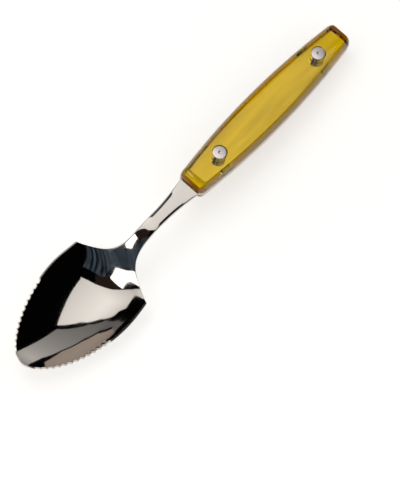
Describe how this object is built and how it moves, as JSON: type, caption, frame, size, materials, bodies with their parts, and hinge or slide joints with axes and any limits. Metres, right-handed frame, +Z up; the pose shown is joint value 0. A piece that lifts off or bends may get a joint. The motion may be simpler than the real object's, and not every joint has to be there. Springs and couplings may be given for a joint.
{
  "type": "grapefruit spoon",
  "caption": "Steel spoon with a serrated shield-shaped bowl, slender raised neck, full tang and riveted clear yellow handle scales.",
  "frame": {"origin": "centre of the spoon's length and width, on the table that it lies on", "axes": "+X from the butt to the bowl's tip, +Y to the spoon's left side, +Z up, with the bowl open to +Z; the handle slopes 5 degrees down to the butt"},
  "size_m": [0.1804, 0.0376, 0.0187],
  "materials": {
    "steel": "mirror-polished stainless steel",
    "clear_yellow": "clear cast acrylic, polished",
    "rivet_steel": "satin, turned"
  },
  "bodies": {
    "root": {"spoon_blank": "steel", "upper_scale": "clear_yellow", "lower_scale": "clear_yellow", "neck_rivet_post": "rivet_steel", "neck_rivet_sleeve": "rivet_steel", "butt_rivet_post": "rivet_steel", "butt_rivet_sleeve": "rivet_steel"}
  },
  "joints": []
}
